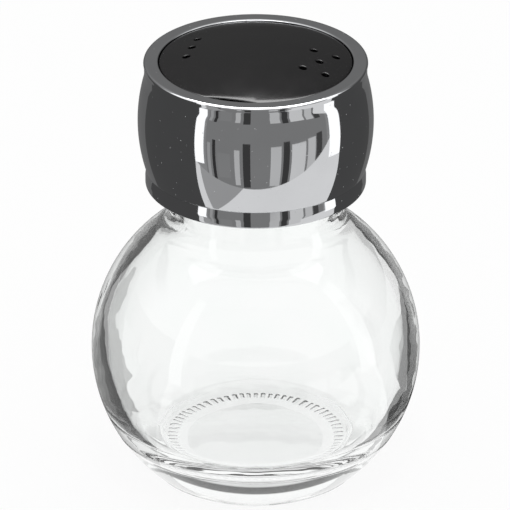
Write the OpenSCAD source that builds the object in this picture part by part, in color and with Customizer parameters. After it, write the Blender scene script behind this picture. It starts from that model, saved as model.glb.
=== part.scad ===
// Ball shaker for salt or pepper: a clear glass ball with a screw cap.
// A domed dial in the cap turns between three holes, shut and five holes.
// Sizes are in millimetres. Z = 0 is the table, the cap turns about Z, and -Y is the front.

/* [Glass jar] */
// Diameter of the glass ball
ball_d = 65; // [60:0.5:72]
// Diameter of the circle on which the ball is cut flat to stand
foot_d = 37.8; // [35:0.2:41]
// Rounding between the ball and its foot
heel_r = 1.6; // [0.8:0.1:2.4]
// Width of the flat ring that touches the table
foot_w = 4.6; // [3.6:0.1:6]
// Height of the hollow under the floor
hollow_h = 0.6; // [0.5:0.1:2]
// Number of short grip marks round the foot
mark_n = 72; // [48:1:84]
// Length of a grip mark
mark_l = 2.4; // [1.4:0.1:3]
// Width of a grip mark
mark_w = 0.8; // [0.5:0.05:0.9]
// Depth of a grip mark
mark_h = 0.2; // [0.1:0.02:0.24]
// From the outer end of a grip mark to the edge of the flat ring
mark_in = 0.1; // [0.1:0.1:0.6]
// Thickness of the glass round the ball
glass_t = 3.2; // [2.6:0.1:4]
// Height of the inside floor above the table
floor_t = 9; // [5:0.1:11]
// Rounding inside, where the floor meets the wall
floor_r = 10.6; // [2:0.2:14]
// Outside diameter of the neck
neck_d = 34.6; // [33:0.1:35.2]
// Thickness of the glass at the mouth
lip_t = 3; // [2.4:0.1:3.6]
// Rounding of the edges of the mouth
lip_r = 0.8; // [0.4:0.1:1]
// Rounding between the ball and the neck
shoulder_r = 7; // [5:0.2:9]
// Neck left bare between the shoulder and the cap
neck_bare = 4.7; // [3:0.1:7]
// Neck inside the cap
neck_in = 10.8; // [10.2:0.1:13]

/* [Screw thread] */
// Rise of the thread in one turn
pitch = 4; // [3.8:0.1:4.4]
// Turns of ridge on the neck, and as many in the cap
ridge_turns = 1.25; // [1:0.05:1.4]
// Height of a ridge
ridge_h = 1.1; // [0.9:0.05:1.2]
// Width of a ridge at its root
ridge_w = 1.9; // [1.6:0.05:2.1]
// Width of a ridge at its crest
crest_w = 0.9; // [0.6:0.05:1.1]
// Neck left smooth under the mouth
lip_h = 2; // [1.6:0.1:2.4]

/* [Sealing ring] */
// Thickness of the sealing ring
seal_t = 1.2; // [0.8:0.1:2]

/* [Cap sleeve] */
// Height of the sleeve
sleeve_h = 26.15; // [25:0.05:30]
// Thickness of the sleeve
sleeve_t = 0.8; // [0.5:0.05:1]
// Widest diameter of the barrel
barrel_d = 46.4; // [46:0.1:50]
// Height of the widest part above the foot of the sleeve
barrel_mid = 13.9; // [12:0.1:15]
// Radius of the bow of the barrel's side
bow_r = 33; // [30:0.5:45]
// Diameter of the plain collar at the foot
collar_d = 43.4; // [43:0.1:45]
// Height of the plain collar at the foot
collar_h = 3.4; // [2.4:0.1:5]
// Diameter of the plain crown at the top
crown_d = 43.8; // [43:0.1:45]
// Height of the plain crown at the top
crown_h = 3.7; // [3:0.1:6]
// Width of the flat rim round the dial
rim_w = 2.75; // [2.2:0.05:3.2]
// Rounding of the outer edge of the rim
rim_r = 0.5; // [0.2:0.05:0.7]

/* [Threaded insert] */
// Thickness of the insert's wall
insert_t = 2.1; // [1.8:0.1:2.6]
// Thickness of the shelf that presses the sealing ring
shelf_t = 1.8; // [1.2:0.1:2.6]
// Thickness of the deck under the dial
deck_t = 1.6; // [1.4:0.1:2.2]
// Depth of the stop groove in the deck
groove_h = 0.9; // [0.6:0.05:1]

/* [Pour dial] */
// Height of the dome above the dial's edge
dome_h = 3.3; // [2:0.1:5]
// Thickness of the dial's edge
dial_t = 1.45; // [1:0.05:2]
// Depth of the dial's edge below the rim
dial_sink = 0.6; // [0:0.05:1]
// Thickness of the dome over its two pockets
dome_t = 1.4; // [1:0.1:1.8]
// Direction of the five holes when the dial is shut, from +X
dial_turn = -15; // [-45:1:45]
// Diameter of a pour hole
hole_d = 1.5; // [1:0.1:2]
// Distance of each group of holes from the middle
hole_r = 12.9; // [12.4:0.1:13.2]
// Spacing of the holes along the edge
hole_gap = 4.15; // [3:0.05:4.4]
// Spacing of the outer holes from the row of three, toward and away from the middle
hole_row = 2.25; // [1.8:0.05:2.4]
// Rounding cut round the mouth of a hole
hole_cut = 0.2; // [0.1:0.05:0.3]
// Width of the two flats on the dial's edge
flat_w = 11.2; // [6:0.1:14]
// Diameter of the stem
stem_d = 6; // [5:0.1:7]
// Diameter of the stop peg
peg_d = 1.8; // [1.4:0.1:2]
// Distance of the stop peg from the middle
peg_r = 6.3; // [6:0.1:6.6]
// Turn of the dial to each side
dial_swing = 90; // [75:1:90]

/* [Dial washer and clip] */
// Diameter of the cone washer
washer_d = 12; // [11:0.1:14]
// Thickness of the cone washer
washer_t = 0.4; // [0.3:0.05:0.6]
// Height of the cone washer
washer_h = 1; // [0.8:0.05:1.4]
// Diameter of the clip
clip_d = 10; // [9:0.1:12]
// Thickness of the clip
clip_t = 0.8; // [0.6:0.05:1.2]
// Depth of the clip's groove in the stem
clip_bite = 0.7; // [0.4:0.05:0.9]
// Stem left below the clip
stem_end = 1; // [0.6:0.1:2]

/* [Clearances] */
// From a ridge's crest to the wall across from it
thread_gap = 0.25; // [0.2:0.01:0.3]
// From the sealing ring's edge to the insert
seal_gap = 0.3; // [0.2:0.05:0.5]
// Between the sleeve and the insert
fit_gap = 0.05; // [0.02:0.01:0.1]
// From the dial's edge to the rim
dial_gap = 0.3; // [0.25:0.01:0.4]
// From the stem to its bore, and from the clip and the washer to the stem
run_gap = 0.05; // [0.03:0.01:0.1]
// From the stop peg to its groove
peg_gap = 0.3; // [0.25:0.01:0.4]

/* [Hidden] */
$fn = 96;

// How far a cutting shape runs past the face that it cuts
past = 1;
// How deep the root of a ridge lies in its wall, so that the two are one solid
ridge_root = 0.6;
// Steps of a ridge in one turn, and the steps in which its ends run out
ridge_steps = 40;
ridge_fade = 5;
// Room in a pocket round the outermost holes
pocket_edge = 0.7;

ball_r = ball_d / 2;
foot_r = foot_d / 2;
ball_z = sqrt(ball_r * ball_r - foot_r * foot_r);
neck_r = neck_d / 2;
neck_z = ball_z + neck_rise(ball_r, neck_r, shoulder_r);
cap_z = neck_z + neck_bare;
mouth_z = cap_z + neck_in;
ridge_z = mouth_z - lip_h - pitch * ridge_turns;

shelf_z = mouth_z + seal_t;

top_z = cap_z + sleeve_h;
foot_h = sleeve_h - crown_h;
barrel_r = barrel_d / 2;
collar_r = collar_d / 2;
crown_r = crown_d / 2;
rim_in_r = crown_r - rim_w;

// The insert fits in the narrowest part of the sleeve, and the threaded neck fits in the insert:
// the bore clears the ridges on the neck, and its own ridges clear the neck
sleeve_in_r = min(collar_r, crown_r, barrel_at(collar_h), barrel_at(foot_h)) - sleeve_t;
insert_r = sleeve_in_r - fit_gap;
bore_r = insert_r - insert_t;
thread_r = bore_r - ridge_h - thread_gap;
mouth_r = thread_r - lip_t;

edge_z = top_z - dial_sink;
deck_z = edge_z - dial_t;
under_z = deck_z - deck_t;
dial_r = rim_in_r - dial_gap;
dome_r = (dial_r * dial_r + dome_h * dome_h) / (2 * dome_h);
dome_z = edge_z + dome_h - dome_r;
flat_r = sqrt(dial_r * dial_r - flat_w * flat_w / 4);
pocket_w = hole_row + hole_d / 2 + pocket_edge;
pocket_a = atan2(hole_gap, hole_r - hole_row) + asin((hole_d / 2 + pocket_edge) / (hole_r - hole_row));
window_turn = dial_turn + dial_swing;
peg_turn = window_turn + 180;
groove_w = peg_d / 2 + peg_gap;
groove_a = dial_swing + asin((peg_d / 2 + run_gap) / peg_r);
stem_r = stem_d / 2;
clip_z = under_z - run_gap - washer_h - clip_t;
clip_in_r = stem_r - clip_bite;

// Each group of holes: its direction from the five, so that one turn brings it over the window
hole_groups = [
    [0, [[hole_r, 0], for (u = [-1, 1], v = [-1, 1]) [hole_r + u * hole_row, v * hole_gap]]],
    [2 * dial_swing, [for (i = [-1:1]) [hole_r, i * hole_gap]]]
];

// Height from a ball's middle to where the rounding of its neck ends
function neck_rise(r, neck, fillet) = sqrt(pow(r + fillet, 2) - pow(neck + fillet, 2));

// Height of the dome at a distance from its axis
function dome_top(p) = dome_z + sqrt(dome_r * dome_r - p * p);

// Radius of the barrel at a height above the foot of the sleeve
function barrel_at(h) = barrel_r - bow_r + sqrt(bow_r * bow_r - pow(h - barrel_mid, 2));

function polar(r, a) = [r * cos(a), r * sin(a)];

// Part of a disc between two directions
module pie(r, from, to) {
    intersection() {
        circle(r);
        polygon([[0, 0], for (i = [0:4]) polar(2 * r, from + (to - from) * i / 4)]);
    }
}

// Half outline of a ball with a flat floor and a neck: the outside of the jar and its inside
module necked_ball(r, floor_z, corner_r, neck, fillet, top) {
    corner = [sqrt(pow(r - corner_r, 2) - pow(ball_z - floor_z - corner_r, 2)), floor_z + corner_r];
    bend = [neck + fillet, ball_z + neck_rise(r, neck, fillet)];
    low = atan2(corner.y - ball_z, corner.x);
    difference() {
        translate([0, ball_z]) pie(r, -90, 90);
        translate([0, floor_z - r]) square([r, r]);
        translate(corner) difference() {
            polygon([[0, 0], [0, -2 * corner_r], polar(2 * corner_r, low)]);
            circle(corner_r);
        }
    }
    difference() {
        polygon([[0, ball_z], bend, [0, bend.y]]);
        translate(bend) circle(fillet);
    }
    translate([0, ball_z]) square([neck, top - ball_z]);
}

// Corner of a square, outside the circle that rounds it, for a corner that points to +X and +Y
module corner_waste(r) {
    difference() {
        square(r + past);
        circle(r);
    }
}

// One ridge of the thread, on the outside (side = 1) or the inside (side = -1) of a wall
module ridge(wall_r, side, from) {
    steps = ceil(ridge_turns * ridge_steps);
    slope = (ridge_w - crest_w) / 2 / ridge_h;
    root_w = ridge_w / 2 + ridge_root * slope;
    function fade(i) = min(1, i / ridge_fade, (steps - i) / ridge_fade);
    function crest_r(i) = wall_r + side * ((ridge_h + ridge_root / 2) * fade(i) - ridge_root / 2);
    function at(i, r, h) = let (turn = 360 * ridge_turns * i / steps)
        [each polar(r, from + turn), ridge_z + pitch * turn / 360 + side * h];
    points = [
        for (i = [0:steps]) each [
            at(i, wall_r - side * ridge_root, -root_w),
            at(i, crest_r(i), -crest_w / 2),
            at(i, crest_r(i), crest_w / 2),
            at(i, wall_r - side * ridge_root, root_w)
        ]
    ];
    last = 4 * steps;
    faces = [
        [3, 2, 1], [3, 1, 0],
        for (i = [0:steps - 1], k = [0:3])
            let (a = 4 * i + k, b = 4 * i + (k + 1) % 4)
            each [[a, b, b + 4], [a, b + 4, a + 4]],
        [last, last + 1, last + 2], [last, last + 2, last + 3]
    ];
    polyhedron(points, faces);
}

// Slot along an arc about the middle
module bent_slot(mid_r, half_w, half_a) {
    difference() {
        pie(mid_r + half_w, -half_a, half_a);
        circle(mid_r - half_w);
    }
}

module glass_jar() {
    color("lightcyan") {
        difference() {
            rotate_extrude() difference() {
                union() {
                    necked_ball(ball_r, 0, heel_r, neck_r, shoulder_r, cap_z);
                    translate([0, cap_z - past]) square([thread_r, neck_in + past]);
                }
                necked_ball(ball_r - glass_t, floor_t, floor_r, mouth_r, shoulder_r, mouth_z + past);
                translate([thread_r - lip_r, mouth_z - lip_r]) corner_waste(lip_r);
                translate([mouth_r + lip_r, mouth_z - lip_r]) mirror([1, 0]) corner_waste(lip_r);
            }
            foot_hollow();
            grip_marks();
        }
        ridge(thread_r, 1, 0);
    }
}

// Shallow hollow that leaves a flat ring to stand on
module foot_hollow() {
    stand_r = sqrt(pow(ball_r - heel_r, 2) - pow(ball_z - heel_r, 2));
    hollow_r = stand_r - foot_w;
    round_r = (hollow_r * hollow_r + hollow_h * hollow_h) / (2 * hollow_h);
    translate([0, 0, hollow_h - round_r]) sphere(round_r);
}

// Short marks across the ring that the jar stands on, each a shallow groove with two sloping sides
module grip_marks() {
    stand_r = sqrt(pow(ball_r - heel_r, 2) - pow(ball_z - heel_r, 2));
    for (i = [0:mark_n - 1])
        rotate(360 * i / mark_n)
            translate([stand_r - mark_in - mark_l, 0, 0])
                rotate([90, 0, 90]) linear_extrude(mark_l)
                    polygon([[-mark_w, -mark_h], [mark_w, -mark_h], [0, mark_h]]);
}

module sealing_ring() {
    color("whitesmoke") translate([0, 0, mouth_z]) difference() {
        cylinder(r = bore_r - seal_gap, h = seal_t);
        translate([0, 0, -past]) cylinder(r = mouth_r, h = seal_t + 2 * past);
    }
}

module threaded_insert() {
    color("dimgray") {
        difference() {
            translate([0, 0, cap_z + sleeve_t]) cylinder(r = insert_r, h = sleeve_h - 2 * sleeve_t);
            translate([0, 0, cap_z]) cylinder(r = bore_r, h = shelf_z - cap_z);
            translate([0, 0, shelf_z - past]) cylinder(r = mouth_r, h = shelf_t + 2 * past);
            translate([0, 0, shelf_z + shelf_t]) cylinder(r = bore_r, h = under_z - shelf_z - shelf_t);
            translate([0, 0, under_z - past]) cylinder(r = stem_r + run_gap, h = deck_t + 2 * past);
            translate([0, 0, under_z - past]) rotate(window_turn)
                linear_extrude(deck_t + 2 * past) bent_slot(hole_r, pocket_w, pocket_a);
            translate([0, 0, deck_z - groove_h]) rotate(peg_turn)
                linear_extrude(groove_h + past) bent_slot(peg_r, groove_w, groove_a);
            translate([0, 0, deck_z]) cylinder(r = rim_in_r, h = sleeve_h);
        }
        ridge(bore_r, -1, 180);
    }
}

module cap_sleeve() {
    step = max(min(barrel_at(collar_h) - collar_r, sleeve_t), 0);
    color("silver") translate([0, 0, cap_z]) rotate_extrude() difference() {
        sleeve_outside();
        translate([0, sleeve_t]) square([sleeve_in_r, sleeve_h - 2 * sleeve_t]);
        translate([0, sleeve_t]) square([collar_r - sleeve_t, collar_h - 2 * sleeve_t]);
        translate([0, foot_h + sleeve_t]) square([crown_r - sleeve_t, crown_h - 2 * sleeve_t]);
        intersection() {
            translate([barrel_r - bow_r, barrel_mid]) circle(bow_r - sleeve_t);
            translate([0, collar_h + step]) square([barrel_r, foot_h - collar_h - step - sleeve_t]);
        }
        translate([0, -past]) square([bore_r, 2 * past + sleeve_t]);
        translate([0, sleeve_h - sleeve_t - past]) square([rim_in_r, 2 * past + sleeve_t]);
        translate([crown_r - rim_r, sleeve_h - rim_r]) corner_waste(rim_r);
    }
}

// Half outline of the sleeve: collar, bowed barrel, and crown with a hollow rounding at its foot
module sleeve_outside() {
    ledge = max(barrel_at(foot_h) - crown_r, 0);
    square([collar_r, collar_h]);
    intersection() {
        translate([barrel_r - bow_r, barrel_mid]) circle(bow_r);
        translate([0, collar_h]) square([barrel_r, foot_h - collar_h]);
    }
    translate([0, foot_h]) square([crown_r, crown_h]);
    translate([crown_r, foot_h]) difference() {
        square(ledge);
        translate([ledge, ledge]) circle(ledge);
    }
}

module pour_dial() {
    color("#1c1c1e") {
        difference() {
            intersection() {
                translate([0, 0, dome_z]) sphere(dome_r);
                translate([0, 0, deck_z]) cylinder(r = dial_r, h = dial_t + dome_h + past);
            }
            rotate(dial_turn) {
                for (group = hole_groups) rotate(group[0]) {
                    pocket();
                    for (p = group[1]) pour_hole(p);
                }
                for (s = [-1, 1])
                    translate([-dial_r, s > 0 ? flat_r : -flat_r - dial_r, deck_z - past])
                        cube([2 * dial_r, dial_r, dial_t + dome_h + 2 * past]);
            }
        }
        stem();
        rotate(peg_turn) translate([peg_r, 0, deck_z - groove_h + peg_gap])
            cylinder(d = peg_d, h = groove_h - peg_gap);
    }
}

// Hollow under a group of holes, between the deck and a cone that follows the dome
module pocket() {
    near = hole_r - pocket_w - past;
    far = hole_r + pocket_w + past;
    intersection() {
        rotate_extrude() polygon([
            [near, deck_z - past],
            [far, deck_z - past],
            [far, dome_top(far) - dome_t],
            [near, dome_top(near) - dome_t]
        ]);
        translate([0, 0, deck_z - past])
            linear_extrude(dial_t + dome_h + past) bent_slot(hole_r, pocket_w, pocket_a);
    }
}

// Upright hole through the dome, with its mouth opened out
module pour_hole(p) {
    mouth = dome_top(norm(p));
    translate([p.x, p.y, deck_z]) cylinder(d = hole_d, h = dial_t + dome_h + past);
    translate([p.x, p.y, mouth - hole_cut])
        cylinder(d1 = hole_d, d2 = hole_d + 4 * hole_cut, h = 2 * hole_cut);
}

// Stem from the dial through the deck, with the groove for its clip
module stem() {
    difference() {
        translate([0, 0, clip_z - stem_end]) cylinder(r = stem_r, h = deck_z - clip_z + stem_end);
        translate([0, 0, clip_z - run_gap]) difference() {
            cylinder(r = stem_r + past, h = clip_t + 2 * run_gap);
            translate([0, 0, -past]) cylinder(r = clip_in_r, h = clip_t + 2 * past);
        }
    }
}

// Cone washer, whose wide edge bears on the deck and narrow edge on the clip
module dial_spring() {
    inner = stem_r + run_gap;
    outer = washer_d / 2;
    color("lightsteelblue") translate([0, 0, clip_z + clip_t]) rotate_extrude()
        polygon([
            [inner, 0],
            [outer, washer_h - washer_t],
            [outer, washer_h],
            [inner, washer_t]
        ]);
}

// Open ring, pushed sideways into the groove of the stem
module dial_clip() {
    inner = clip_in_r + run_gap;
    color("slategray") translate([0, 0, clip_z]) linear_extrude(clip_t) difference() {
        circle(d = clip_d);
        circle(inner);
        translate([-inner, 0]) square([2 * inner, clip_d]);
    }
}

glass_jar();
sealing_ring();
threaded_insert();
cap_sleeve();
pour_dial();
dial_spring();
dial_clip();
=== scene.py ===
# %% [markdown]
# A ball shaker: clear glass, a bright cap and a black pouring dial.
# The shaker has three parts that show. A pressed glass ball stands on a flat foot, a chromed sleeve
# covers the screw cap, and a domed black dial sits inside the rim of the sleeve.
# The imported model is the fixed frame: it has the size, the place and the motion of every piece.
# This lesson dresses that frame. It loads it first, so that later sizes can be read from its boxes.

# %% Load the frame and keep its box
import math

import bmesh
import bpy
import numpy as np
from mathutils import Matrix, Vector
from mathutils.geometry import delaunay_2d_cdt


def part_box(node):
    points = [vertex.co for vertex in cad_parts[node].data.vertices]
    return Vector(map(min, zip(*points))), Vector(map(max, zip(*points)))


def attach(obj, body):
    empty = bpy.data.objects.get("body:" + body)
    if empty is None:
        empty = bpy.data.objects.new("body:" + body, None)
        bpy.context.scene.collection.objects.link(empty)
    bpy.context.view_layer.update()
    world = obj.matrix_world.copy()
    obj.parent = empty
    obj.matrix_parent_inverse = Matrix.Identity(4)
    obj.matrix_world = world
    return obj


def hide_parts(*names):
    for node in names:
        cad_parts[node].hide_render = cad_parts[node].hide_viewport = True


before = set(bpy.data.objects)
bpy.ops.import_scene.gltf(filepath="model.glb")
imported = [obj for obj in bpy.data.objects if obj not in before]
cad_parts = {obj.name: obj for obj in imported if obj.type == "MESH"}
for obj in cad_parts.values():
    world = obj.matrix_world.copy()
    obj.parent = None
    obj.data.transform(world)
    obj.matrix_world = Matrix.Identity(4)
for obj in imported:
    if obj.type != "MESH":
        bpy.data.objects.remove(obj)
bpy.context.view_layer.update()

MM = 0.001
print("nodes:", sorted(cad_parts))

# %% [markdown]
# Sizes that the pieces share.
# A new mesh has to lie where its solid lies, so the levels and the outer radii come from the boxes of
# the nodes. What a box can't tell, such as the thickness of the glass, is a named size in millimetres.

# %% Read the main levels and radii
jar_low, jar_high = (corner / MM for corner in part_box("glass_jar"))
sleeve_low, sleeve_high = (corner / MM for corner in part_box("cap_sleeve"))
dial_low, dial_high = (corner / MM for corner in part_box("pour_dial"))
ball_r = jar_high.x
mouth_z = jar_high.z
cap_z = sleeve_low.z
top_z = sleeve_high.z
barrel_r = sleeve_high.x
print(f"ball radius {ball_r:.2f}, mouth at {mouth_z:.2f}, cap from {cap_z:.2f} to {top_z:.2f} mm")

# %% [markdown]
# The camera.
# A product photograph is taken from far away with a long lens, so that upright sides stay almost
# parallel. The camera could be moved by eye until the picture fits. It is quicker to measure: the ball
# gives the scale and its middle, and the ellipse of the rim gives how steeply the camera looks down.

# %% Place the camera from measurements of the photograph
photo_px = 510
camera_far = 2000
camera_down = math.radians(26.65)
px_per_mm = 5.046
ball_px = (255.7, 344.0)
foot_r = 18.9
ball_z = math.sqrt(ball_r ** 2 - foot_r ** 2)

camera = bpy.data.objects.new("camera", bpy.data.cameras.new("camera"))
bpy.context.scene.collection.objects.link(camera)
bpy.context.scene.camera = camera
camera.data.lens = camera.data.sensor_width * px_per_mm * camera_far / photo_px
camera_up = Vector((0, math.sin(camera_down), math.cos(camera_down)))
ball_middle = Vector((0, 0, ball_z))
eye = ball_middle + camera_far * Vector((0, -math.cos(camera_down), math.sin(camera_down)))
off_x = (ball_px[0] - photo_px / 2) / px_per_mm
off_y = (ball_px[1] - photo_px / 2) / px_per_mm
aim = ball_middle - Vector((off_x, 0, 0)) + off_y * camera_up
camera.location = eye * MM
camera.rotation_euler = (aim - eye).to_track_quat("-Z", "Y").to_euler()
print(f"lens {camera.data.lens:.0f} mm, aimed at {[round(c, 1) for c in aim]} mm")

# %% [markdown]
# Outlines and turned skins.
# Glass from a mould and spun metal are round about one axis, so a half outline that is turned once
# round gives the whole skin. Blender's Screw modifier could do that, but then the thread, the marks
# under the foot and the waves in the glass would need other tools. Here the outline is a list of arcs
# and lines, and a function may push each ring of points in or out before the faces are made.

# %% Helpers for outlines, skins and pieces
def arc(middle, radius, start, end, steps):
    """Points of an arc from one direction to another, in degrees, with both ends."""
    turns = np.radians(np.linspace(start, end, steps + 1))
    return [(middle[0] + radius * math.cos(t), middle[1] + radius * math.sin(t)) for t in turns]


def line(start, end, steps):
    """Evenly spaced points from start to end, with both ends."""
    return [tuple(p) for p in np.linspace(start, end, steps + 1)]


def turned(outline, around, push=None):
    """Points and faces of a half outline turned about Z. push(radius, height, turn) may move the points."""
    rows = np.array(outline)
    turn = np.arange(around) * math.tau / around
    radius = np.repeat(rows[:, :1], around, axis=1)
    height = np.repeat(rows[:, 1:], around, axis=1)
    if push:
        radius, height = push(radius, height, turn)
    points = np.stack([radius * np.cos(turn), radius * np.sin(turn), height], axis=-1)
    lower = np.arange((len(rows) - 1) * around).reshape(-1, around)
    side = np.roll(lower, -1, axis=1)
    faces = np.stack([lower, side, side + around, lower + around], axis=-1)
    return points.reshape(-1, 3), faces.reshape(-1, 4)


def piece(name, points, faces, sharp=40):
    """A closed mesh from points in millimetres. Edges steeper than sharp degrees keep a hard line."""
    mesh = bpy.data.meshes.new(name)
    mesh.from_pydata((np.asarray(points) * MM).tolist(), [], [list(f) for f in faces])
    welded = bmesh.new()
    welded.from_mesh(mesh)
    bmesh.ops.remove_doubles(welded, verts=welded.verts, dist=0.0005 * MM)
    bmesh.ops.dissolve_degenerate(welded, dist=0.0002 * MM, edges=welded.edges)
    bmesh.ops.recalc_face_normals(welded, faces=welded.faces)
    open_edges = sum(not edge.is_manifold for edge in welded.edges)
    welded.to_mesh(mesh)
    welded.free()
    mesh.shade_smooth()
    mesh.set_sharp_from_angle(angle=math.radians(sharp))
    made = bpy.data.objects.new(name, mesh)
    bpy.context.scene.collection.objects.link(made)
    print(f"{name}: {len(mesh.polygons)} faces, {open_edges} open edges")
    return made


# %% [markdown]
# The glass jar.
# The ball is pressed and blown in a mould. Its floor is thick, its wall is about 3 mm, and the inside
# follows the outside only roughly, because no tool touches it while it cools. Those slow waves bend
# what is seen through the edge of the ball, so the inside skin gets them as real shape. The foot has a
# ring of short grip marks, a low seam of the mould runs round its heel, and the neck has one ridge of
# screw thread under the cap.

# %% Sizes of the jar in millimetres
heel_r = 1.6
foot_w = 4.6
hollow_h = 0.6
glass_t = 3.2
floor_t = 9.0
floor_r = 10.6
neck_r = 17.3
thread_r = 17.185
lip_t = 3.0
lip_r = 0.8
shoulder_r = 7.0
mark_n = 72
mark_in_r = 15.9
mark_out_r = 18.3
mark_w = 0.8
mark_h = 0.2
seam_r = 20.3
seam_w = 0.32
seam_h = 0.26
pitch = 4.0
ridge_turns = 1.25
ridge_h = 1.1
ridge_w = 1.9
crest_w = 0.9
lip_h = 2.0
fade_turns = 0.125
mouth_r = thread_r - lip_t
stand_r = math.sqrt((ball_r - heel_r) ** 2 - (ball_z - heel_r) ** 2)
hollow_r = stand_r - foot_w
print(f"the jar stands on a ring from {hollow_r:.2f} to {stand_r:.2f} mm, its mouth is {2 * mouth_r:.1f} mm wide")


# %% Outline of the jar, from the axis under the foot to the axis on the floor
def necked_ball(r, floor_z, corner_r, neck, corner_steps, close_steps, steps):
    """Half outline of a ball with a rounded floor and neck, from the floor's edge to the neck."""
    corner = (math.sqrt((r - corner_r) ** 2 - (ball_z - floor_z - corner_r) ** 2), floor_z + corner_r)
    bend_h = math.sqrt((r + shoulder_r) ** 2 - (neck + shoulder_r) ** 2)
    low = math.degrees(math.atan2(corner[1] - ball_z, corner[0]))
    high = math.degrees(math.atan2(bend_h, neck + shoulder_r))
    return (
        arc(corner, corner_r, -90, low, corner_steps)
        + arc((0, ball_z), r, low, low + 4, close_steps)[1:]
        + arc((0, ball_z), r, low + 4, high, steps)[1:]
        + arc((neck + shoulder_r, ball_z + bend_h), shoulder_r, 180 + high, 180, 8)[1:]
    )


hollow_ball_r = (hollow_r ** 2 + hollow_h ** 2) / (2 * hollow_h)
hollow_turn = math.degrees(math.asin(hollow_r / hollow_ball_r))
under = arc((0, hollow_h - hollow_ball_r), hollow_ball_r, 90, 90 - hollow_turn, 7)
stand = line((hollow_r, 0), (mark_in_r, 0), 3)[1:] + line((mark_in_r, 0), (stand_r, 0), 11)[1:-1]
outside = necked_ball(ball_r, 0, heel_r, neck_r, 8, 20, 40)
finish_h = 0.2
neck = line(outside[-1], (neck_r, cap_z - finish_h), 2)[1:]
thread = line((thread_r, cap_z), (thread_r, mouth_z - lip_r), 34)
lip = arc((thread_r - lip_r, mouth_z - lip_r), lip_r, 0, 90, 4)[1:]
lip += arc((mouth_r + lip_r, mouth_z - lip_r), lip_r, 90, 180, 4)
inside = necked_ball(ball_r - glass_t, floor_t, floor_r, mouth_r, 24, 4, 36)
throat = line((mouth_r, mouth_z - lip_r), inside[-1], 6)[1:-1]
floor = line(inside[0], (0, floor_t), 8)[1:]
jar_outline = under + stand + outside + neck + thread + lip + throat + inside[::-1] + floor
first_inside = len(under + stand + outside + neck + thread + lip)
print(f"jar outline: {len(jar_outline)} points, inside from point {first_inside}")


# %% Grip marks, thread and waves as pushes on the rings of points
def smooth(x):
    """0 below 0, 1 above 1, and a soft step between."""
    x = np.clip(x, 0, 1)
    return x * x * (3 - 2 * x)


def wavy(points, sizes, seed):
    """Smooth waves in space between -1 and 1, as a sum of sines that lie in many directions."""
    draw = np.random.default_rng(seed)
    total = np.zeros(points.shape[:-1])
    for size in sizes:
        toward = draw.normal(size=3)
        toward *= math.tau / size / np.linalg.norm(toward)
        total += np.sin(points @ toward + draw.uniform(0, math.tau))
    return total / len(sizes)


wave_h = 0.14
wave_sizes = np.linspace(9, 30, 14)


def jar_push(radius, height, turn):
    """Presses the marks into the foot, raises the seam and the thread, and lets the inside wave."""
    row = np.arange(len(radius))[:, None]
    inner = row >= first_inside
    step = math.tau / mark_n
    across = (np.mod(turn + step / 2, step) - step / 2) * radius
    along = np.maximum(np.abs(radius - (mark_in_r + mark_out_r) / 2) - (mark_out_r - mark_in_r - mark_w) / 2, 0)
    depth = mark_h * smooth(1.4 * (1 - np.hypot(across, along) / (mark_w / 2)))
    height = height + np.where((height < mark_h) & ~inner, depth, 0)
    sway = 0.15 * np.sin(5 * turn) + 0.1 * np.sin(13 * turn)
    seam = seam_h * np.exp(-((radius - seam_r - sway) / seam_w) ** 2)
    radius = radius + np.where((height < ball_z / 4) & ~inner, seam, 0)

    ridge_z = mouth_z - lip_h - pitch * ridge_turns
    ridge = np.zeros_like(radius)
    for lap in range(2):
        turns = turn / math.tau + lap
        ends = np.minimum(turns, ridge_turns - turns) / fade_turns
        drop = np.abs(height - ridge_z - pitch * turns)
        flank = (ridge_w / 2 - drop) / (ridge_w / 2 - crest_w / 2)
        ridge = np.maximum(ridge, ridge_h * smooth(flank) * smooth(ends))
    radius = radius + np.where((np.abs(radius - thread_r) < 0.001) & ~inner, ridge, 0)

    place = np.stack([radius * np.cos(turn), radius * np.sin(turn), height], axis=-1)
    wave = wave_h * wavy(place, wave_sizes, 7)
    wall = smooth((height - floor_t) / floor_r) * smooth((ball_z + ball_r - height) / ball_r * 2 - 0.2)
    lift = np.where(inner, wave * (0.2 + 0.8 * wall) * smooth((cap_z - 6 - height) / 8), 0)
    out = np.hypot(radius, height - ball_z) + 0.001
    return radius + lift * radius / out, height + lift * (height - ball_z) / out


jar = piece("jar", *turned(jar_outline, 6 * mark_n, jar_push), sharp=60)
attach(jar, "jar")
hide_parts("glass_jar")

# %% [markdown]
# The cap sleeve.
# It is thin metal, drawn and rolled, then polished and plated. The barrel is bowed, a plain collar runs
# round its foot, and a flat rim turns in over the dial. No edge of rolled metal is sharp: the rim, the
# crease and the hem each have a small rounding, and those roundings catch the thin bright lines.

# %% Sizes and outline of the sleeve, heights measured down from the top of the rim
sleeve_t = 0.8
bow_r = 33.4
bow_mid = 12.72
bow_out = barrel_r - 0.04
collar_r = 21.7
collar_top = 22.75
collar_in = 0.28
collar_full = 24.5
rim_out_r = 22.0
rim_in_r = 19.1
rim_in_edge = 0.28
rim_r = 0.45
rim_h = 0.9
wall_r = 21.84
cove_top = 2.6
cove_r = 5.8
hem_in_r = 18.535
hem_r = 0.35
edge_r = 0.12


def bowed(r, high, low, steps):
    """Arc of the barrel between two depths under the top, r being the radius of its bow."""
    ends = [math.degrees(math.asin((bow_mid - depth) / r)) for depth in (low, high)]
    return arc((bow_out - bow_r, top_z - bow_mid), r, *ends, steps)


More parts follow.
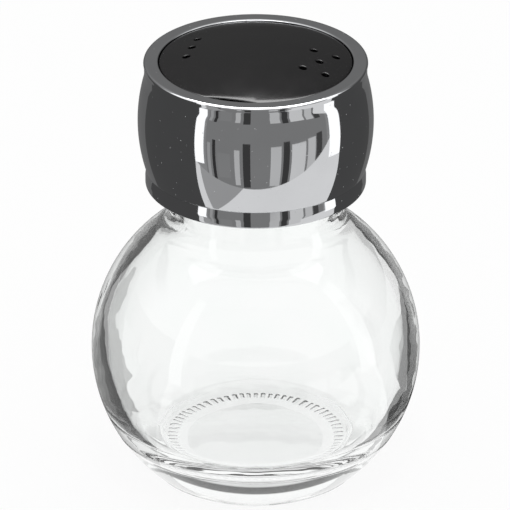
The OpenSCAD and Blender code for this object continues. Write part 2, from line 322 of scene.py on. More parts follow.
cove_turn = math.asin((bow_mid - cove_top) / (bow_r + cove_r))
barrel_top = bow_mid - bow_r * math.sin(cove_turn)
cove = arc((wall_r + cove_r, top_z - cove_top), cove_r, 180 + math.degrees(cove_turn), 180, 10)
barrel = bowed(bow_r, barrel_top, collar_top - edge_r, 72)
in_r = wall_r - sleeve_t
sleeve_outline = (
    arc((hem_in_r + hem_r, cap_z + hem_r), hem_r, 180, 270, 5)
    + arc((collar_r - hem_r, cap_z + hem_r), hem_r, 270, 360, 6)
    + line((collar_r, cap_z + hem_r), (collar_r, top_z - collar_full), 4)
    + line((collar_r, top_z - collar_full), (collar_r - collar_in, top_z - collar_top), 8)[1:]
    + barrel
    + cove[1:]
    + line((wall_r, top_z - cove_top), (wall_r, top_z - rim_h - edge_r), 6)[1:]
    + arc((rim_out_r - rim_r, top_z - rim_r), rim_r, 0, 90, 12)
    + line((rim_out_r - rim_r, top_z), (rim_in_r + rim_in_edge, top_z), 6)[1:]
    + arc((rim_in_r + rim_in_edge, top_z - rim_in_edge), rim_in_edge, 90, 180, 8)[1:]
    + line((rim_in_r, top_z - sleeve_t), (in_r, top_z - sleeve_t), 3)
    + line((in_r, top_z - sleeve_t), (in_r, top_z - barrel_top), 3)[1:]
    + bowed(bow_r - sleeve_t, barrel_top + sleeve_t, collar_top - sleeve_t, 24)[::-1]
    + line((collar_r - sleeve_t, top_z - collar_top), (collar_r - sleeve_t, cap_z + sleeve_t), 3)
    + line((collar_r - sleeve_t, cap_z + sleeve_t), (hem_in_r, cap_z + sleeve_t), 3)[1:]
    + [(hem_in_r, cap_z + hem_r)]
)
print(f"the cove under the rim meets the barrel {barrel_top:.2f} mm below the top")
sleeve = piece("sleeve", *turned(sleeve_outline, 432), sharp=50)
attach(sleeve, "cap")
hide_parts("cap_sleeve")

# %% [markdown]
# The pour dial.
# The dial is one moulded piece: a shallow dome with three holes on one side and five on the other, two
# flats on its edge, two pockets under the holes, and a stem below. Cutting the holes with booleans
# would leave long thin faces that spoil the gloss. A triangulation that knows the outline and the holes
# keeps every point of the top on the dome, so the reflections run smoothly up to each hole.

# %% Sizes of the dial in millimetres
dial_t = 1.8
dial_sink = 0.25
dial_gap = 0.15
dome_t = 1.4
dial_turn = -15.0
hole_d = 1.5
hole_r = 12.9
hole_gap = 4.15
hole_row = 2.25
hole_cut = 0.2
flat_w = 11.2
stem_r = 3.0
peg_r = 0.9
peg_far = 6.3
peg_l = 0.6
clip_bite = 0.7
clip_t = 0.9
stem_end = 0.95
pocket_edge = 0.7
edge_round = 0.25
dial_r = rim_in_r - dial_gap
edge_z = top_z - dial_sink
deck_z = edge_z - dial_t
dome_h = dial_high.z - edge_z
dome_r = (dial_r ** 2 + dome_h ** 2) / (2 * dome_h)
flat_r = math.sqrt(dial_r ** 2 - flat_w ** 2 / 4)
pocket_w = hole_row + hole_d / 2 + pocket_edge
near_r = hole_r - hole_row
pocket_a = math.atan2(hole_gap, near_r) + math.asin((hole_d / 2 + pocket_edge) / near_r)


def dome_top(x, y):
    """Height of the dome over a point."""
    return edge_z + dome_h - dome_r + math.sqrt(dome_r ** 2 - x * x - y * y)


# %% Loops of the dial, drawn before it is turned to its place
def ring(middle, radius, steps):
    """Points once round a circle."""
    return arc(middle, radius, 0, 360, steps)[:-1]


def dial_edge(inset):
    """The dial's edge: a circle with a flat on two sides, moved in by inset."""
    r = dial_r - inset
    flat = flat_r - inset
    corner = math.degrees(math.acos(flat / r))
    right = arc((0, 0), r, corner - 90, 90 - corner, 110)
    left = arc((0, 0), r, 90 + corner, 270 - corner, 110)
    top = line(right[-1], left[0], 24)[1:-1]
    low = line(left[-1], right[0], 24)[1:-1]
    return right + top + left + low


five = [(hole_r, 0)] + [(hole_r + u * hole_row, v * hole_gap) for u in (-1, 1) for v in (-1, 1)]
three = [(-hole_r, v * hole_gap) for v in (-1, 0, 1)]
hole_steps = 36
half = math.degrees(pocket_a)
pockets = [
    arc((0, 0), hole_r + pocket_w, side - half, side + half, 40)
    + arc((0, 0), hole_r - pocket_w, side + half, side - half, 24)
    for side in (0, 180)
]
peg_middle = (0, -peg_far)


def inside_loop(loop, x, y):
    """Whether a point lies inside a loop, by counting the sides that it crosses."""
    hit = False
    for (ax, ay), (bx, by) in zip(loop, loop[1:] + loop[:1]):
        if (ay > y) != (by > y) and x < ax + (y - ay) / (by - ay) * (bx - ax):
            hit = not hit
    return hit


def plate(edge, holes, grid):
    """Triangles that fill an edge loop around hole loops, with extra points from a grid of rings."""
    loops = [edge] + holes
    points = [p for loop in loops for p in loop]
    sides = []
    start = 0
    for loop in loops:
        sides += [(start + i, start + (i + 1) % len(loop)) for i in range(len(loop))]
        start += len(loop)
    clear = 0.35
    for x, y in grid:
        near = any(math.hypot(x - p[0], y - p[1]) < clear for p in points[:start])
        if not near and inside_loop(edge, x, y) and not any(inside_loop(h, x, y) for h in holes):
            points.append((x, y))
    flat, _, tris, *_ = delaunay_2d_cdt([Vector(p) for p in points], sides, [], 1, 1e-6)
    flat = [tuple(p) for p in flat]
    kept = []
    for tri in tris:
        x, y = (sum(flat[i][k] for i in tri) / len(tri) for k in (0, 1))
        if inside_loop(edge, x, y) and not any(inside_loop(h, x, y) for h in holes):
            kept.append(tuple(tri))
    return flat, kept


class Skin:
    """Collects patches of points and faces of one piece. Patches that share a loop are welded later."""

    def __init__(self):
        self.points = []
        self.faces = []

    def patch(self, points, faces):
        start = len(self.points)
        self.points += points
        self.faces += [tuple(start + i for i in face) for face in faces]

    def wall(self, *loops):
        """Faces from each loop to the next, all with as many points."""
        n = len(loops[0])
        faces = [
            (k * n + i, k * n + (i + 1) % n, (k + 1) * n + (i + 1) % n, (k + 1) * n + i)
            for k in range(len(loops) - 1) for i in range(n)
        ]
        self.patch([p for loop in loops for p in loop], faces)


# %% Build the dial
def lifted(loop, height):
    """A flat loop at a height, or at the height that a function gives for each point."""
    return [(x, y, height(x, y) if callable(height) else height) for x, y in loop]


def pocket_roof(x, y):
    """Height of the cone over a pocket, a dome's thickness below the dome."""
    near, far = hole_r - pocket_w - 1, hole_r + pocket_w + 1
    share = (math.hypot(x, y) - near) / (far - near)
    return (1 - share) * dome_top(near, 0) + share * dome_top(far, 0) - dome_t


dial_skin = Skin()
rings_of_grid = [(r, int(max(6, r * 7))) for r in np.arange(0.9, dial_r, 0.9)]
grid = [p for r, n in rings_of_grid for p in ring((0, 0), r, n)]
mouths = [ring(h, hole_d / 2 + hole_cut, hole_steps) for h in five + three]
top_flat, top_faces = plate(dial_edge(edge_round), mouths, grid)
dial_skin.patch(lifted(top_flat, dome_top), top_faces)

for hole in five + three:
    rounds = []
    for turn in np.radians(np.linspace(0, 90, 5)):
        loop = ring(hole, hole_d / 2 + hole_cut * (1 - math.sin(turn)), hole_steps)
        drop = hole_cut * (1 - math.cos(turn))
        rounds.append(lifted(loop, lambda x, y: dome_top(x, y) - drop))
    rounds.append(lifted(ring(hole, hole_d / 2, hole_steps), pocket_roof))
    dial_skin.wall(*rounds)

edge_loops = []
for turn in np.radians(np.linspace(0, 90, 5)):
    loop = dial_edge(edge_round * (1 - math.sin(turn)))
    drop = edge_round * (1 - math.cos(turn))
    edge_loops.append(lifted(loop, lambda x, y: dome_top(x, y) - drop))
edge_loops.append(lifted(dial_edge(0), deck_z))
dial_skin.wall(*edge_loops)

stem_loop = ring((0, 0), stem_r, 48)
peg_loop = ring(peg_middle, peg_r, 24)
deck_flat, deck_faces = plate(dial_edge(0), pockets + [stem_loop, peg_loop], [])
dial_skin.patch(lifted(deck_flat, deck_z), deck_faces)
for pocket, holes in zip(pockets, (five, three)):
    dial_skin.wall(lifted(pocket, deck_z), lifted(pocket, pocket_roof))
    roof_flat, roof_faces = plate(pocket, [ring(h, hole_d / 2, hole_steps) for h in holes], [])
    dial_skin.patch(lifted(roof_flat, pocket_roof), roof_faces)

stem_z = dial_low.z
stem_rings = [
    (stem_r, deck_z),
    (stem_r, stem_z + stem_end + clip_t),
    (stem_r - clip_bite, stem_z + stem_end + clip_t),
    (stem_r - clip_bite, stem_z + stem_end),
    (stem_r, stem_z + stem_end),
    (stem_r, stem_z + edge_round),
    (stem_r - edge_round, stem_z),
    (0, stem_z),
]
dial_skin.wall(*[lifted(ring((0, 0), r, 48), z) for r, z in stem_rings])
dial_skin.wall(*[lifted(ring(peg_middle, r, 24), z) for r, z in
                 [(peg_r, deck_z), (peg_r, deck_z - peg_l), (0, deck_z - peg_l)]])

dial_place = math.radians(dial_turn)
turned_points = [
    (x * math.cos(dial_place) - y * math.sin(dial_place), x * math.sin(dial_place) + y * math.cos(dial_place), z)
    for x, y, z in dial_skin.points
]
dial = piece("dial", turned_points, dial_skin.faces, sharp=35)
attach(dial, "dial")
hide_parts("pour_dial")

# %% [markdown]
# Materials.
# Each finish is a small graph of nodes, with no picture files. One function adds a node, sets it and
# links it. Colours are written as the hex values that a colour picker shows, so they are turned to
# linear light once. Pattern sizes are written in millimetres, because the pieces are in metres.

# %% Helpers for materials
def linear(code):
    """Linear colour with alpha from an sRGB hex code such as #1c1c1e."""
    parts = [int(code[i:i + 2], 16) / 255 for i in (1, 3, 5)]
    return (*[p / 12.92 if p <= 0.04045 else ((p + 0.055) / 1.055) ** 2.4 for p in parts], 1)


def add(tree, kind, values=None, links=None, **settings):
    """Adds a node: settings are its own options, values its sockets, and links join sockets to outputs."""
    made = tree.nodes.new(kind)
    for option, value in settings.items():
        setattr(made, option, value)
    for socket, value in (values or {}).items():
        made.inputs[socket].default_value = value
    for socket, (source, output) in (links or {}).items():
        tree.links.new(source.outputs[output], made.inputs[socket])
    return made


def per_mm(size):
    """Scale of a pattern whose features are about size millimetres wide."""
    return 1 / (size * MM)


def blank(name):
    """A new material with an empty graph."""
    made = bpy.data.materials.new(name)
    made.use_nodes = True
    made.node_tree.nodes.clear()
    return made, made.node_tree


def dress(thing, material):
    """Gives a piece or a node of the frame one material."""
    thing.data.materials.clear()
    thing.data.materials.append(material)


# %% [markdown]
# Soda-lime glass, pressed and fire-polished.
# Flames melt the skin of the glass smooth, so it has no roughness to speak of, and what is left are
# slow cords where the melt was not quite even. Its tint is so faint that only the thick foot shows it.

# %% Glass
glass, tree = blank("soda_lime_glass_fire_polished")
where = add(tree, "ShaderNodeTexCoord")
cords = add(tree, "ShaderNodeTexNoise", {"Scale": per_mm(9), "Detail": 1.0, "Roughness": 0.4},
            {"Vector": (where, "Object")})
tint = add(tree, "ShaderNodeMix", {6: linear("#ffffff"), 7: linear("#fbfdfc")},
           {0: (cords, "Fac")}, data_type="RGBA")
reach = add(tree, "ShaderNodeVectorMath", {1: ball_middle * MM}, {0: (where, "Object")}, operation="DISTANCE")
inner = add(tree, "ShaderNodeMath", {1: (ball_r - glass_t / 2) * MM}, {0: (reach, "Value")}, operation="LESS_THAN")
fine = add(tree, "ShaderNodeTexNoise", {"Scale": per_mm(4), "Detail": 1.0}, {"Vector": (where, "Object")})
ripple = add(tree, "ShaderNodeBump", {"Distance": 0.03 * MM}, {"Strength": (inner, "Value"), "Height": (fine, "Fac")})
shader = add(tree, "ShaderNodeBsdfPrincipled", {"Roughness": 0.0, "IOR": 1.52, "Transmission Weight": 1.0},
             {"Base Color": (tint, "Result"), "Normal": (ripple, "Normal")})
add(tree, "ShaderNodeOutputMaterial", links={"Surface": (shader, "BSDF")})
dress(jar, glass)

# %% [markdown]
# Chromium plate on polished steel.
# The plate copies the polish below it, so the sleeve is a mirror. A real mirror of this kind is never
# perfect: a faint haze from wiping, and specks of dust about a fifth of a millimetre wide. A speck is not
# metal and not smooth, so it shows as a pale dot where the mirror is dark.

# %% Chrome
chrome, tree = blank("chromium_plate_polished")
where = add(tree, "ShaderNodeTexCoord")
haze = add(tree, "ShaderNodeTexNoise", {"Scale": per_mm(7), "Detail": 4.0}, {"Vector": (where, "Object")})
speck = add(tree, "ShaderNodeTexVoronoi", {"Scale": per_mm(1.6)}, {"Vector": (where, "Object")})
dust = add(tree, "ShaderNodeMapRange", {"From Min": 0.05, "From Max": 0.1, "To Min": 0.22, "To Max": 0.0},
           {"Value": (speck, "Distance")})
polish = add(tree, "ShaderNodeMapRange", {"From Min": 0.35, "From Max": 0.75, "To Min": 0.02, "To Max": 0.06},
             {"Value": (haze, "Fac")})
rough = add(tree, "ShaderNodeMath", {}, {0: (polish, "Result"), 1: (dust, "Result")}, operation="MAXIMUM")
bare = add(tree, "ShaderNodeMapRange", {"From Min": 0.04, "From Max": 0.08, "To Min": 0.4, "To Max": 1.0},
           {"Value": (speck, "Distance")})
shade = add(tree, "ShaderNodeMix", {6: linear("#cfd0d2"), 7: linear("#c6c7c9")}, {0: (haze, "Fac")},
            data_type="RGBA")
shader = add(tree, "ShaderNodeBsdfPrincipled", {},
             {"Base Color": (shade, "Result"), "Roughness": (rough, "Value"), "Metallic": (bare, "Result")})
add(tree, "ShaderNodeOutputMaterial", links={"Surface": (shader, "BSDF")})
dress(sleeve, chrome)

# %% [markdown]
# Black ABS, moulded in a polished tool.
# The gloss comes from the tool, and it is a little softer than a mirror. Handling leaves it slightly
# uneven, which shows only in the sheen.

# %% Dial plastic
black_abs, tree = blank("black_abs_gloss_moulded")
where = add(tree, "ShaderNodeTexCoord")
flow = add(tree, "ShaderNodeTexNoise", {"Scale": per_mm(5), "Detail": 3.0}, {"Vector": (where, "Object")})
fine = add(tree, "ShaderNodeTexNoise", {"Scale": per_mm(0.5), "Detail": 2.0}, {"Vector": (where, "Object")})
sheen = add(tree, "ShaderNodeMapRange", {"From Min": 0.3, "From Max": 0.7, "To Min": 0.14, "To Max": 0.22},
            {"Value": (flow, "Fac")})
shade = add(tree, "ShaderNodeMix", {6: linear("#080708"), 7: linear("#0c0b0c")}, {0: (flow, "Fac")},
            data_type="RGBA")
grain = add(tree, "ShaderNodeBump", {"Strength": 0.03, "Distance": 0.05 * MM}, {"Height": (fine, "Fac")})
shader = add(tree, "ShaderNodeBsdfPrincipled", {"IOR": 1.53},
             {"Base Color": (shade, "Result"), "Roughness": (sheen, "Result"), "Normal": (grain, "Normal")})
add(tree, "ShaderNodeOutputMaterial", links={"Surface": (shader, "BSDF")})
dress(dial, black_abs)

# %% [markdown]
# The hidden pieces.
# The insert, the sealing ring, the spring washer and the clip keep the shape of the frame. They show
# only when the cap is turned up or seen through a hole, but each still gets the finish of its stuff:
# grained polypropylene, grey silicone and steel that was rolled, with fine lines along the roll.

# %% Insert, seal and steel
grey_pp, tree = blank("polypropylene_moulded_satin")
where = add(tree, "ShaderNodeTexCoord")
grain = add(tree, "ShaderNodeTexNoise", {"Scale": per_mm(0.4), "Detail": 3.0}, {"Vector": (where, "Object")})
shade = add(tree, "ShaderNodeMix", {6: linear("#232325"), 7: linear("#2d2d30")}, {0: (grain, "Fac")},
            data_type="RGBA")
sheen = add(tree, "ShaderNodeMapRange", {"To Min": 0.38, "To Max": 0.55}, {"Value": (grain, "Fac")})
dimple = add(tree, "ShaderNodeBump", {"Strength": 0.15, "Distance": 0.04 * MM}, {"Height": (grain, "Fac")})
shader = add(tree, "ShaderNodeBsdfPrincipled", {"IOR": 1.49},
             {"Base Color": (shade, "Result"), "Roughness": (sheen, "Result"), "Normal": (dimple, "Normal")})
add(tree, "ShaderNodeOutputMaterial", links={"Surface": (shader, "BSDF")})
dress(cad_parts["threaded_insert"], grey_pp)

seal_grey, tree = blank("silicone_moulded_grey")
where = add(tree, "ShaderNodeTexCoord")
cloud = add(tree, "ShaderNodeTexNoise", {"Scale": per_mm(2.5), "Detail": 2.0}, {"Vector": (where, "Object")})
shade = add(tree, "ShaderNodeMix", {6: linear("#38383a"), 7: linear("#444446")}, {0: (cloud, "Fac")},
            data_type="RGBA")
sheen = add(tree, "ShaderNodeMapRange", {"To Min": 0.42, "To Max": 0.6}, {"Value": (cloud, "Fac")})
shader = add(tree, "ShaderNodeBsdfPrincipled", {"IOR": 1.41},
             {"Base Color": (shade, "Result"), "Roughness": (sheen, "Result")})
add(tree, "ShaderNodeOutputMaterial", links={"Surface": (shader, "BSDF")})
dress(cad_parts["sealing_ring"], seal_grey)

rolled, tree = blank("spring_steel_rolled")
where = add(tree, "ShaderNodeTexCoord")
stretch = add(tree, "ShaderNodeMapping", {"Scale": (per_mm(6), per_mm(0.15), per_mm(0.15))},
              {"Vector": (where, "Object")})
lines = add(tree, "ShaderNodeTexNoise", {"Scale": 1.0, "Detail": 3.0}, {"Vector": (stretch, "Vector")})
shade = add(tree, "ShaderNodeMix", {6: linear("#9c9c9e"), 7: linear("#b4b4b6")}, {0: (lines, "Fac")},
            data_type="RGBA")
sheen = add(tree, "ShaderNodeMapRange", {"To Min": 0.22, "To Max": 0.4}, {"Value": (lines, "Fac")})
shader = add(tree, "ShaderNodeBsdfPrincipled", {"Metallic": 1.0},
             {"Base Color": (shade, "Result"), "Roughness": (sheen, "Result")})
add(tree, "ShaderNodeOutputMaterial", links={"Surface": (shader, "BSDF")})
for hidden in ("dial_spring", "dial_clip"):
    dress(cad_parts[hidden], rolled)
print("materials:", [m.name for m in bpy.data.materials if m.users])

# %% [markdown]
# The studio.
# A mirror and a clear ball have no look of their own: they show what stands round them. So the studio
# is built for its reflections. Every card shines evenly by itself and is hidden from the camera, and
# each is shown either to mirror rays or to rays that come out of glass, so the two can be set apart.
# All cards are placed in millimetres.


# %% Helpers for cards
def glow(code, strength=1, one_wall=False):
    """A material that shines evenly in one colour, if asked only for rays through one wall of glass."""
    made, tree = blank("card_" + code[1:])
    shine = add(tree, "ShaderNodeEmission", {"Color": linear(code), "Strength": strength})
    face = (shine, "Emission")
    if one_wall:
        path = add(tree, "ShaderNodeLightPath")
        more = add(tree, "ShaderNodeMath", {1: 3.0}, {0: (path, "Transmission Depth")}, operation="GREATER_THAN")
        gone = add(tree, "ShaderNodeBsdfTransparent")
        both = add(tree, "ShaderNodeMixShader", {}, {0: (more, "Value"), 1: face, 2: (gone, "BSDF")})
        face = (both, "Shader")
    add(tree, "ShaderNodeOutputMaterial", links={"Surface": face})
    return made


def card(name, corners, faces, material, glossy=False, glass=False):
    """A flat card of the studio from corners in millimetres, shown only to mirror rays or to glass."""
    mesh = bpy.data.meshes.new(name)
    mesh.from_pydata([Vector(c) * MM for c in corners], [], faces)
    mesh.materials.append(material)
    made = bpy.data.objects.new(name, mesh)
    bpy.context.scene.collection.objects.link(made)
    made.visible_glossy = glossy
    made.visible_transmission = glass
    made.visible_camera = made.visible_diffuse = made.visible_shadow = False
    return made


def from_front(turn, far, height):
    """A point at a turn in degrees from the camera's side, to the right, and at a distance."""
    t = math.radians(turn)
    return (far * math.sin(t), -far * math.cos(t), height)


# %% [markdown]
# The white table.
# A white sheet looks grey in a picture, because it gives back less light than it gets. So for the
# camera, for mirrors and for glass the table shines white, and a small share of plain paper is left in
# it, which keeps the soft shadow of the shaker. Mirror rays see only the part behind its front edge.

# %% Table
white_table, tree = blank("white_table")
path = add(tree, "ShaderNodeLightPath")
seen = add(tree, "ShaderNodeMath", {}, {0: (path, "Is Camera Ray"), 1: (path, "Is Glossy Ray")},
           operation="MAXIMUM")
through = add(tree, "ShaderNodeMath", {}, {0: (seen, "Value"), 1: (path, "Is Transmission Ray")},
              operation="MAXIMUM")
share = add(tree, "ShaderNodeMath", {1: 0.92}, {0: (through, "Value")}, operation="MULTIPLY")
paper = add(tree, "ShaderNodeBsdfDiffuse", {"Color": linear("#f4f4f4")})
shine = add(tree, "ShaderNodeEmission", {"Color": linear("#ffffff")})
both = add(tree, "ShaderNodeMixShader", {}, {0: (share, "Value"), 1: (paper, "BSDF"), 2: (shine, "Emission")})
add(tree, "ShaderNodeOutputMaterial", links={"Surface": (both, "Shader")})

table_w = 1500
table_edge = -107
for name, low, high, mirrored in (("table", table_edge, table_w, True), ("table_front", -table_w, table_edge, False)):
    corners = [(-table_w, low, 0), (table_w, low, 0), (table_w, high, 0), (-table_w, high, 0)]
    table = card(name, corners, [(0, 1, 2, 3)], white_table, glossy=mirrored, glass=True)
    table.visible_camera = table.visible_diffuse = table.visible_shadow = True

# %% [markdown]
# Cards for the chrome.
# A bowed mirror squeezes all that stands before it into a narrow upright picture. Dark flags left and
# right make its dark flanks, two bright strips make the white lines beside them, the table makes the
# pale curve below, and plain panels in a few greys fill the middle. Small bright cards over the front
# of the cap draw the white line on the rim and the glints in the holes.

# %% Flags, strips and panels
flat_z = 0.3
lying = [
    ("flag_left", -130, -57, 28, table_w, "#525252"),
    ("flag_right", 84, 138, 28, table_w, "#525252"),
    ("grey_left", -180, -130, 30, table_w, "#737373"),
    ("grey_right", 138, 180, 30, table_w, "#737373"),
]
for name, start, end, near, far, code in lying:
    turns = np.linspace(start, end, 9)
    corners = [from_front(t, near, flat_z) for t in turns] + [from_front(t, far, flat_z) for t in turns]
    faces = [(i, i + 1, i + 10, i + 9) for i in range(8)]
    card(name, corners, faces, glow(code), glossy=True)
corners = [(-44, -42, flat_z), (-22, table_edge, flat_z), (-140, table_edge, flat_z), (-46, -42, flat_z)]
card("flag_front", corners, [(0, 1, 2, 3)], glow("#b4b4b4"), glossy=True)

for name, start, end in (("strip_left", -57, -48), ("strip_right", 71, 84)):
    corners = [from_front(t, 190, z) for t, z in ((start, 0), (end, 0), (end, 220), (start, 220))]
    card(name, corners, [(0, 1, 2, 3)], glow("#ffffff", 1.7), glossy=True)
for name, low, high, strength in (("top_left", -60, -22, 2), ("top", -22, 22, 8), ("top_right", 22, 60, 2)):
    corners = [(low, -30, 105), (high, -30, 105), (high, -9, 105), (low, -9, 105)]
    card(name, corners, [(0, 1, 2, 3)], glow("#ffffff", strength), glossy=True)

upright = [
    ("side_left", -130, -57, 300, 0, 115, "#525252"),
    ("side_right", 84, 138, 300, 0, 115, "#525252"),
    ("wall", -48, 71, 900, -900, 200, "#909090"),
    ("panel_a", -46, -43, 500, -330, 0, "#b4b4b4"),
    ("panel_b", -41, -38, 520, -330, 20, "#3c3c3c"),
    ("panel_c", -36, -24, 540, -250, -60, "#969696"),
    ("panel_d", -20, -15, 500, -290, -20, "#d2d2d2"),
    ("panel_e", -12, -5, 520, -330, 20, "#464646"),
    ("panel_f", 14, 24, 500, -300, 0, "#d7d7d7"),
    ("panel_g", 26, 32, 520, -330, 20, "#464646"),
    ("panel_h", 34, 48, 500, -280, 0, "#ebebeb"),
    ("panel_i", 50, 58, 500, -330, 10, "#dcdcdc"),
    ("panel_j", 59, 65, 520, -330, 20, "#505050"),
]
for name, start, end, far, low, high, code in upright:
    turns = np.linspace(start, end, 9)
    corners = [from_front(t, far, low) for t in turns] + [from_front(t, far, high) for t in turns]
    card(name, corners, [(i, i + 1, i + 10, i + 9) for i in range(8)], glow(code), glossy=True)

print("cards for the chrome:", len(lying) + len(upright) + 6)

# %% [markdown]
# Cards for the glass.
# Light that enters near the edge of the ball is thrown back inside the wall and leaves sideways. So grey
# rings just behind the middle of the ball show only there, and draw its dark edge. They are shown only
# to rays that crossed one wall of glass. Otherwise they would show through the ball from the side.
# Further in, a ray crosses both walls and leans outward. A pale patch lies on the table where such rays
# land, and makes the pale band inside the edge. It is kept pale, because it shows from other sides too.

# %% Grey rings and patches
# how far a ray leans, by its radius in a plane 40 mm behind the middle of the ball
lean_r = [32.4, 35.7, 40.6, 46.6, 52.3, 57.5, 66.2]
lean_by = np.radians([9.5, 12.1, 16.3, 21.7, 26.5, 30.6, 36.6])
back = -Vector((0, -math.cos(camera_down), math.sin(camera_down)))
side = Vector((1, 0, 0))


def ring_card(name, far, turns, near, wide, code, laid=False):
    """Part of a ring behind the ball: its inner and outer radius at some turns, counted from the right.
    A laid ring is slid along the bent rays until it lies on the table."""
    fine = np.arange(turns[0], turns[-1] + 1, 1.5)
    ragged = 0.25 * np.sin(0.9 * fine) + 0.2 * np.sin(0.37 * fine)
    corners = []
    for radii in (near, wide):
        for t, r in zip(np.radians(fine), np.interp(fine, turns, radii) + ragged):
            out = math.cos(t) * side + math.sin(t) * camera_up
            spot = ball_middle + far * back + float(r) * out
            if laid:
                lean = float(np.interp(r, lean_r, lean_by))
                ray = math.cos(lean) * back + math.sin(lean) * out
                spot = spot + (flat_z - spot.z) / ray.z * ray
            corners.append(spot)
    n = len(fine)
    faces = [(i, i + 1, i + n + 1, i + n) for i in range(n - 1)]
    card(name, corners, faces, glow(code, one_wall=not laid), glass=True)


left = [90, 145, 157, 168, 182, 196, 204, 270]
left_dark = [41, 41, 36.8, 35.9, 38.7, 40.4, 43, 43]
ring_card("edge_left_a", 1, left, [32.6] * 8, [33.8] * 8, "#8a8a8a")
ring_card("edge_left_b", 1, left, [33.8] * 8, [35.2] * 8, "#707070")
ring_card("edge_left_c", 1, left, [35.2] * 8, left_dark, "#585858")
ring_card("edge_left_d", 1, left, left_dark, [60] * 8, "#aaaaaa")
ring_card("band_left", 40, [148, 157, 168, 182, 196, 204, 214], [44, 41.8, 45.7, 37.4, 33, 38.5, 39],
          [47, 52, 56, 60, 62, 62, 62], "#c0c0c0", laid=True)
right = [-90, -24, -16, -2, 12, 23, 35, 90]
right_dark = [37, 37.8, 34.8, 37.8, 36.2, 34.8, 36.5, 36.5]
ring_card("edge_right_a", 1, right, [32.6] * 8, right_dark, "#4a4a4a")
ring_card("edge_right_b", 1, right, right_dark, [40, 41, 37, 60, 41, 35.2, 36.9, 36.9], "#a0a0a0")
ring_card("band_right", 40, [-12, -2, 9], [65, 46.3, 65], [66] * 3, "#b4b4b4", laid=True)
corners = [(x, y, flat_z) for x, y in ((-35.1, 31.6), (-30.8, 22.1), (-24.5, 11.2), (-60, 11.2), (-90, 31.6))]
card("band_floor", corners, [(0, 1, 2, 3, 4)], glow("#b4b4b4"), glass=True)

# %% [markdown]
# Light from all around.
# The world differs by kind of ray. Mirror rays see a grey sky behind, bright at the top, and white in
# front. Rays out of the glass see white, with one dark strip behind the shaker that becomes the dark
# line in its foot. The camera sees plain white, and the rest is soft, even light. One softbox adds a
# shadow. It is hidden from mirror and glass, where it would leave a bright spot.

# %% World and softbox
world = bpy.data.worlds.new("studio")
bpy.context.scene.world = world
world.use_nodes = True
tree = world.node_tree
tree.nodes.clear()
path = add(tree, "ShaderNodeLightPath")
around = add(tree, "ShaderNodeTexCoord")
parts = add(tree, "ShaderNodeSeparateXYZ", links={"Vector": (around, "Generated")})
behind = add(tree, "ShaderNodeValToRGB", links={"Fac": (parts, "Z")})
stops = behind.color_ramp.elements
stops[0].position, stops[0].color = 0.0, linear("#555555")
stops[1].position, stops[1].color = 0.97, linear("#f5f5f5")
for at, code in ((0.42, "#808080"), (0.8, "#a8a8a8"), (0.92, "#ffffff")):
    stops.new(at).color = linear(code)
lean = add(tree, "ShaderNodeMapRange", {"From Min": -0.7, "From Max": 0.7, "To Min": 1.25, "To Max": 0.75},
           {"Value": (parts, "X")})
leaning = add(tree, "ShaderNodeVectorMath", {}, {0: (behind, "Color"), "Scale": (lean, "Result")}, operation="SCALE")
before = add(tree, "ShaderNodeValToRGB", links={"Fac": (parts, "Z")})
stops = before.color_ramp.elements
stops[0].position, stops[0].color = 0.0, linear("#a0a0a0")
stops[1].position, stops[1].color = 0.15, linear("#ffffff")
toward = add(tree, "ShaderNodeMapRange", {"From Min": 0.4, "From Max": 0.0}, {"Value": (parts, "Y")})
mirrored = add(tree, "ShaderNodeMix", {}, {0: (toward, "Result"), 6: (leaning, "Vector"), 7: (before, "Color")},
               data_type="RGBA")
glassy = add(tree, "ShaderNodeValToRGB", links={"Fac": (parts, "Z")})
stops = glassy.color_ramp.elements
stops[0].position, stops[0].color = 0.4, linear("#d8d8d8")
stops[1].position, stops[1].color = 0.53, linear("#ffffff")
for at, code in ((0.42, "#1c1c1c"), (0.51, "#1c1c1c")):
    stops.new(at).color = linear(code)
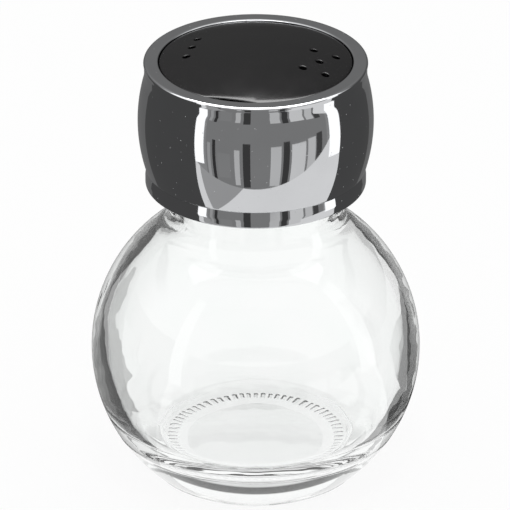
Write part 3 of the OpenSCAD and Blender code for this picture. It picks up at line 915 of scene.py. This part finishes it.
clear = add(tree, "ShaderNodeMix", {7: linear("#ffffff")}, {0: (toward, "Result"), 6: (glassy, "Color")},
            data_type="RGBA")
soft = add(tree, "ShaderNodeMapRange", {"From Min": -0.2, "From Max": 0.8, "To Min": 0.6, "To Max": 0.95},
           {"Value": (parts, "Z")})
mirror_light = add(tree, "ShaderNodeBackground", {}, {"Color": (mirrored, "Result")})
glass_light = add(tree, "ShaderNodeBackground", {}, {"Color": (clear, "Result")})
soft_light = add(tree, "ShaderNodeBackground", {}, {"Color": (soft, "Result")})
white = add(tree, "ShaderNodeBackground", {"Color": linear("#ffffff")})
lit = add(tree, "ShaderNodeMixShader", {}, {0: (path, "Is Glossy Ray"), 1: (soft_light, "Background"),
                                           2: (mirror_light, "Background")})
lit = add(tree, "ShaderNodeMixShader", {}, {0: (path, "Is Transmission Ray"), 1: (lit, "Shader"),
                                           2: (glass_light, "Background")})
lit = add(tree, "ShaderNodeMixShader", {}, {0: (path, "Is Camera Ray"), 1: (lit, "Shader"),
                                           2: (white, "Background")})
add(tree, "ShaderNodeOutputWorld", links={"Surface": (lit, "Shader")})

lamp = bpy.data.objects.new("softbox", bpy.data.lights.new("softbox", "AREA"))
lamp.data.size = 0.12
lamp.data.energy = 0.6
lamp.location = (0.02, -0.32, 0.68)
lamp.rotation_euler = (ball_middle * MM - lamp.location).to_track_quat("-Z", "Y").to_euler()
lamp.visible_glossy = lamp.visible_transmission = False
bpy.context.scene.collection.objects.link(lamp)
print(f"softbox {lamp.data.size / MM:.0f} mm wide, {lamp.data.energy} W")

# %% [markdown]
# Colour and bounces.
# The picture uses Blender's plain colour transform, so a colour shows as it was written. Thick glass
# passes light on many times before it lets it out, so the limits on bounces go up.

# %% Set the colour transform and the bounces
bpy.context.scene.view_settings.view_transform = "Standard"
cycles = bpy.context.scene.cycles
bounces = 32
cycles.max_bounces = cycles.glossy_bounces = cycles.transmission_bounces = bounces
